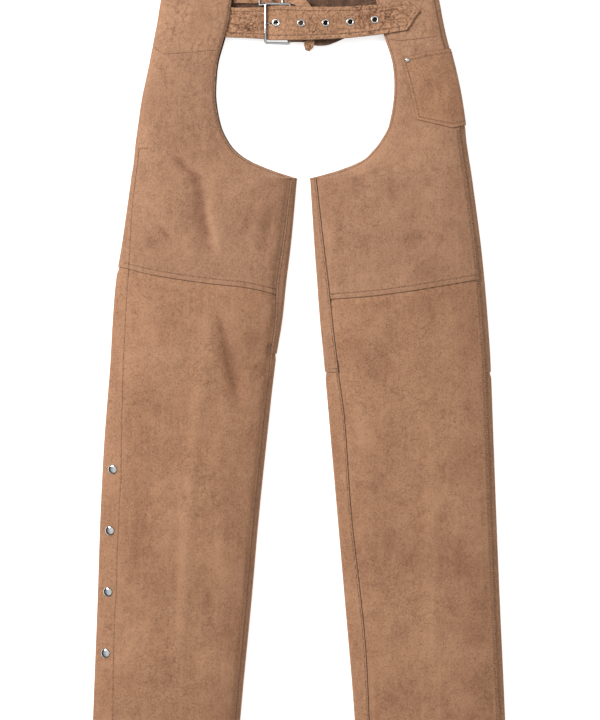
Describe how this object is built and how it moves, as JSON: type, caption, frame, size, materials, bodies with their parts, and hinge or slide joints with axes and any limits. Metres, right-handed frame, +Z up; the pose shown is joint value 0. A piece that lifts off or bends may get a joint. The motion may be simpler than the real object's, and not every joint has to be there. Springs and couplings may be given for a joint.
{
  "type": "motorcycle chaps",
  "caption": "Leather motorcycle chaps lying flat: two open-seat legs with knee seams, a snapped side closure, a hip pocket and a buckled front belt.",
  "frame": {"origin": "middle of the underside of the bounding box, on the surface that the chaps lie on", "axes": "+Y from the hems to the waist, +Z up out of the front as it lies, +X towards the wearer's left leg"},
  "size_m": [0.6248, 1.17, 0.0272],
  "materials": {
    "panel_leather": "matt brushed tan leather",
    "belt_leather": "grained, wrinkled tan leather",
    "chrome": "polished",
    "nickel": "nickel plated"
  },
  "bodies": {
    "root": {"right_thigh_front": "panel_leather", "right_shin_front": "panel_leather", "right_thigh_back": "panel_leather", "right_shin_back": "panel_leather", "right_side_placket": "panel_leather", "left_thigh_front": "panel_leather", "left_shin_front": "panel_leather", "left_thigh_back": "panel_leather", "left_shin_back": "panel_leather", "left_hip_pocket": "panel_leather", "back_yoke": "panel_leather", "belt_strap": "belt_leather", "buckle_strap": "belt_leather", "back_strap": "belt_leather", "buckle_frame": "chrome", "buckle_prong": "chrome", "right_snap_1": "chrome", "right_snap_2": "chrome", "right_snap_3": "chrome", "right_snap_4": "chrome", "eyelet_1": "nickel", "eyelet_2": "nickel", "eyelet_3": "nickel", "eyelet_4": "nickel", "eyelet_5": "nickel", "left_pocket_rivet": "nickel", "back_slider": "nickel"}
  },
  "joints": []
}
